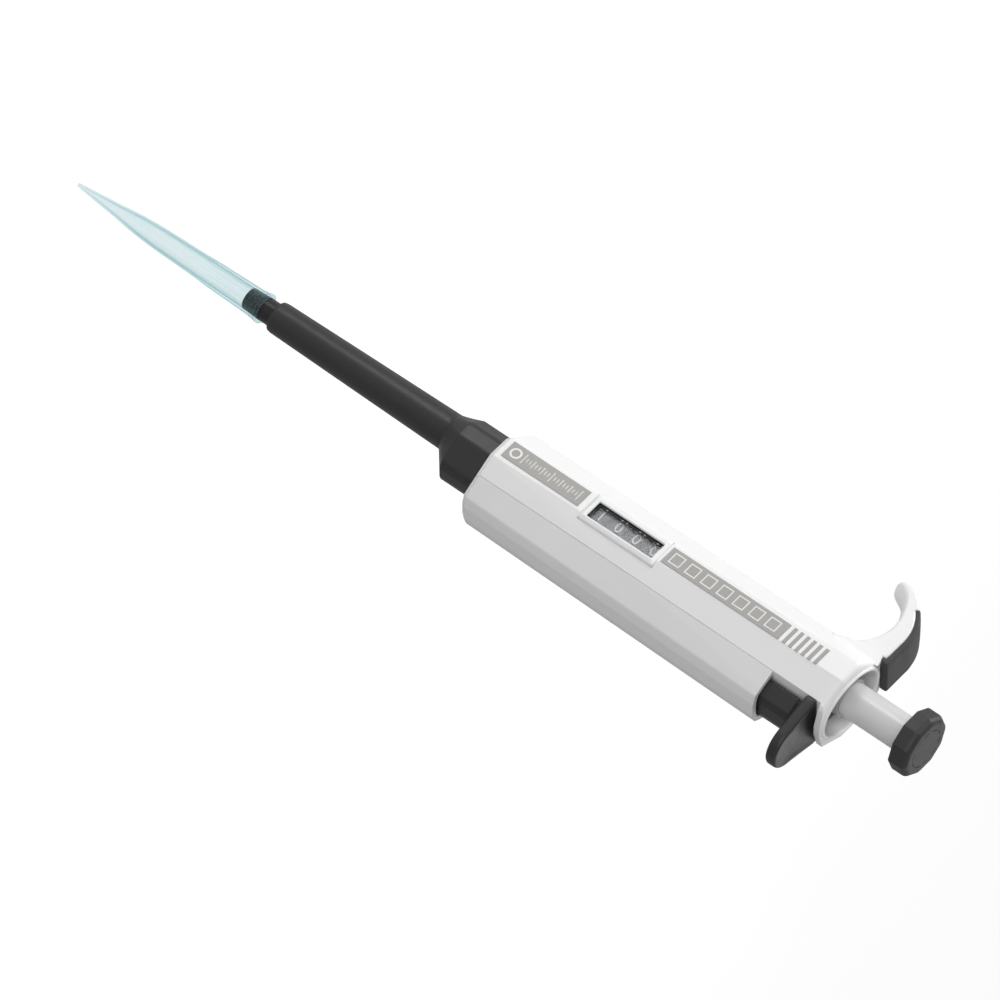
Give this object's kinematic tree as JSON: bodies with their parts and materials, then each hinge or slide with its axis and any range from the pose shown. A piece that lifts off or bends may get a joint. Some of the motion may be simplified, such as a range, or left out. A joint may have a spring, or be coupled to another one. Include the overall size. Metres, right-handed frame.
{
  "type": "adjustable micropipette",
  "caption": "Air-displacement hand pipette with a volume counter, push button, finger hook, tip ejector and a fitted disposable tip.",
  "frame": {"origin": "centre of the end face of the nozzle that carries the disposable tip", "axes": "+Z along the pipette from the tip to the push button, +X towards the tip ejector, -X towards the finger hook, -Y towards the counter window"},
  "size_m": [0.0685, 0.0277, 0.313],
  "materials": {
    "tip_plastic": "translucent, satin",
    "nozzle_plastic": "satin",
    "black_plastic": "satin",
    "white_plastic": "fine satin",
    "cover_plastic": "fine satin",
    "pad_rubber": "matt",
    "label_grey": "matt print film",
    "window_clear": "clear",
    "rod_plastic": "gloss",
    "button_plastic": "satin",
    "inner_plastic": "moulded",
    "ring_plastic": "satin with white digits",
    "seal_rubber": "matt",
    "seal_ptfe": "waxy",
    "steel": "drawn",
    "hub_alloy": "turned",
    "brass": "turned"
  },
  "bodies": {
    "handle": {"handle_shell": "white_plastic", "ejector_cover": "cover_plastic", "hook_pad": "pad_rubber", "window_frame": "white_plastic", "window_lens": "window_clear", "range_label": "label_grey", "name_label": "label_grey", "label_bars": "label_grey", "bulkhead": "inner_plastic", "shaft_nut": "brass", "nozzle_shaft": "nozzle_plastic", "nozzle_rings": "seal_rubber", "seal_cap": "inner_plastic", "piston_seal": "seal_ptfe", "seal_oring": "seal_rubber", "ring_carrier": "ring_plastic", "hub_bearing": "inner_plastic", "rod_guide": "inner_plastic", "main_spring": "steel", "ejector_spring": "steel"},
    "ejector": {"ejector_sleeve": "black_plastic", "ejector_bar": "black_plastic", "ejector_button": "black_plastic", "ejector_screws": "steel"},
    "tip": {"tip": "tip_plastic"},
    "hub": {"drive_hub": "hub_alloy", "units_ring": "ring_plastic", "hub_clip": "steel"},
    "tens": {"tens_ring": "ring_plastic"},
    "hundreds": {"hundreds_ring": "ring_plastic"},
    "thousands": {"thousands_ring": "ring_plastic"},
    "plunger": {"push_rod": "rod_plastic", "push_button": "button_plastic", "button_disc": "button_plastic", "thread_nut": "brass"},
    "swivel": {"swivel_collar": "steel"},
    "piston_set": {"spindle": "brass", "piston": "steel", "piston_collar": "hub_alloy", "blowout_spring": "steel", "blowout_plate": "hub_alloy"}
  },
  "joints": [
    {"name": "volume_set", "type": "hinge", "parent": "handle", "child": "hub", "pos_m": [0, 0, 0.19], "axis": [0, 0, 1], "range_deg": [-6480, 0]},
    {"name": "tens_turn", "type": "hinge", "parent": "handle", "child": "tens", "pos_m": [0, 0, 0.144], "axis": [0, 0, 1], "range_deg": [-3260, 20]},
    {"name": "hundreds_turn", "type": "hinge", "parent": "handle", "child": "hundreds", "pos_m": [0, 0, 0.138], "axis": [0, 0, 1], "range_deg": [-328, 4]},
    {"name": "thousands_turn", "type": "hinge", "parent": "handle", "child": "thousands", "pos_m": [0, 0, 0.131], "axis": [0, 0, 1], "range_deg": [-34, 2]},
    {"name": "plunger_press", "type": "slide", "parent": "hub", "child": "plunger", "axis": [0, 0, 1], "range_m": [-0.0188, 0], "stiffness_N_per_m": 300, "springref_m": 0.01, "deforming": ["main_spring"]},
    {"name": "swivel_hold", "type": "hinge", "parent": "plunger", "child": "swivel", "pos_m": [0, 0, 0.175], "axis": [0, 0, 1], "range_deg": [-40, 6520]},
    {"name": "spindle_extend", "type": "slide", "parent": "swivel", "child": "piston_set", "axis": [0, 0, 1], "range_m": [-0.0145, 0.0001]},
    {"name": "ejector_press", "type": "slide", "parent": "handle", "child": "ejector", "axis": [0, 0, 1], "range_m": [-0.01, 0], "stiffness_N_per_m": 400, "springref_m": 0.005, "deforming": ["ejector_spring"]},
    {"name": "tip_pull", "type": "slide", "parent": "ejector", "child": "tip", "axis": [0, 0, -1], "range_m": [0, 0.03]}
  ],
  "couplings": [
    {"joint": "tens_turn", "follows": "volume_set", "ratio": 0.5},
    {"joint": "hundreds_turn", "follows": "volume_set", "ratio": 0.05},
    {"joint": "thousands_turn", "follows": "volume_set", "ratio": 0.005},
    {"joint": "swivel_hold", "follows": "volume_set", "ratio": -1},
    {"joint": "spindle_extend", "follows": "volume_set", "m_per_rad": 0.00012732}
  ]
}
